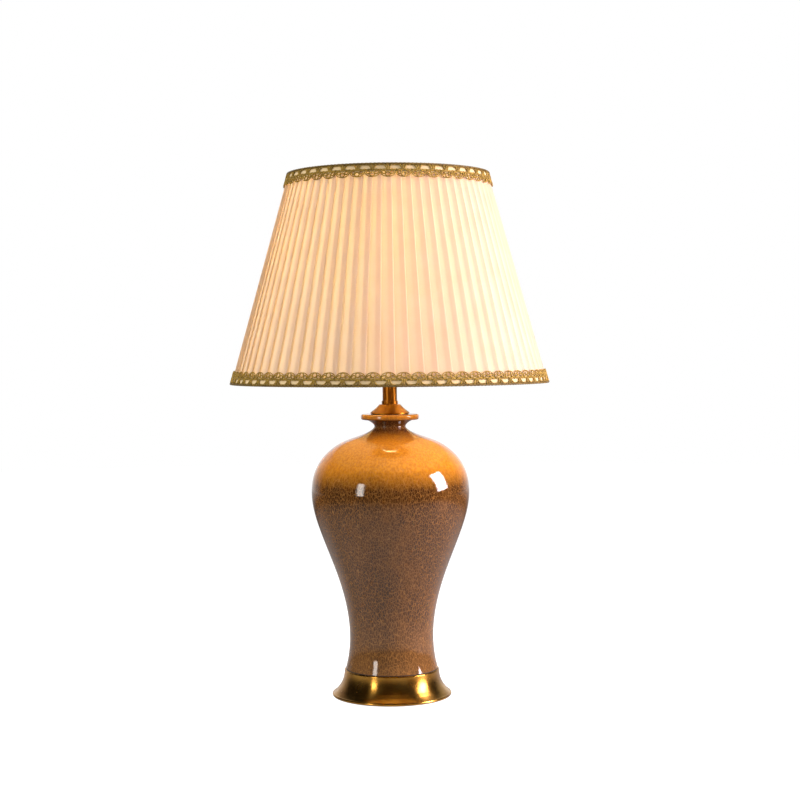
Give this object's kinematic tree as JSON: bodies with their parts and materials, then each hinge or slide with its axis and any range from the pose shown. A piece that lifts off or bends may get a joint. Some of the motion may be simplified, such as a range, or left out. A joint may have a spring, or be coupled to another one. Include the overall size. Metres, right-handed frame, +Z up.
{
  "type": "table lamp",
  "caption": "Table lamp: a glazed ginger jar on a flared brass foot, with a socket and harp under a knife-pleated cone shade edged with scalloped braid.",
  "frame": {"origin": "on the lamp's axis, at the table under the felt", "axes": "+Z up along the lamp's axis; the harp stands in the XZ plane, the switch knob points to -Y and the cord inlet is at the back, +Y"},
  "size_m": [0.3992, 0.3992, 0.6568],
  "materials": {
    "felt": "matte",
    "cast_iron": "matte",
    "aged_brass": "satin",
    "socket_brass": "satin",
    "harp_brass": "satin",
    "steel": "satin",
    "nickel": "polished",
    "black_plastic": "matte",
    "white_plastic": "satin",
    "white_board": "satin",
    "dark_rubber": "matte",
    "insulating_card": "matte",
    "crackle_glaze": "gloss",
    "lit_globe": "satin",
    "shade_liner": "satin",
    "pleated_cloth": "matte",
    "edge_tape": "matte",
    "gimp_braid": "satin"
  },
  "bodies": {
    "stand": {"felt_pad": "felt", "foot_weight": "cast_iron", "foot_shell": "aged_brass", "cord_inlet": "black_plastic", "pipe_nut": "steel", "lock_washer": "steel", "pipe_washer": "steel", "lamp_pipe": "steel", "foot_gasket": "dark_rubber", "jar": "crackle_glaze", "cap_gasket": "dark_rubber", "vase_cap": "aged_brass", "collar": "aged_brass", "neck_tube": "aged_brass", "saddle": "socket_brass", "socket_cap": "socket_brass", "socket_shell": "socket_brass", "socket_liner": "insulating_card", "switch_block": "black_plastic", "terminal_screws": "socket_brass", "screw_shell": "socket_brass", "centre_contact": "socket_brass"},
    "switch": {"knob_shaft": "socket_brass", "switch_knob": "black_plastic"},
    "bulb": {"bulb_tip": "socket_brass", "bulb_insulator": "black_plastic", "bulb_cap": "nickel", "bulb_housing": "white_plastic", "led_board": "white_board", "bulb_globe": "lit_globe"},
    "harp": {"harp_wire": "harp_brass", "harp_stud": "harp_brass"},
    "ferrule_left": {"ferrule_left": "harp_brass"},
    "ferrule_right": {"ferrule_right": "harp_brass"},
    "shade": {"spider_washer": "harp_brass", "spider_arms": "harp_brass", "shade_top_ring": "steel", "shade_bottom_ring": "steel", "shade_liner": "shade_liner", "pleated_cover": "pleated_cloth", "top_tape": "edge_tape", "bottom_tape": "edge_tape", "top_braid": "gimp_braid", "bottom_braid": "gimp_braid"},
    "finial": {"finial": "aged_brass"}
  },
  "joints": [
    {"name": "knob_turn", "type": "hinge", "parent": "stand", "child": "switch", "pos_m": [0, -0.03, 0.429], "axis": [0, -1, 0], "continuous": true},
    {"name": "bulb_unscrew", "type": "slide", "parent": "stand", "child": "bulb", "axis": [0, 0, 1], "range_m": [0, 0.028]},
    {"name": "harp_lift", "type": "slide", "parent": "stand", "child": "harp", "axis": [0, 0, 1], "range_m": [0, 0.016]},
    {"name": "ferrule_left_slide", "type": "slide", "parent": "harp", "child": "ferrule_left", "axis": [0, 0, 1], "range_m": [0, 0.014]},
    {"name": "ferrule_right_slide", "type": "slide", "parent": "harp", "child": "ferrule_right", "axis": [0, 0, 1], "range_m": [0, 0.014]},
    {"name": "shade_lift", "type": "slide", "parent": "harp", "child": "shade", "axis": [0, 0, 1], "range_m": [0, 0.26]},
    {"name": "finial_unscrew", "type": "slide", "parent": "shade", "child": "finial", "axis": [0, 0, 1], "range_m": [0, 0.014]}
  ]
}
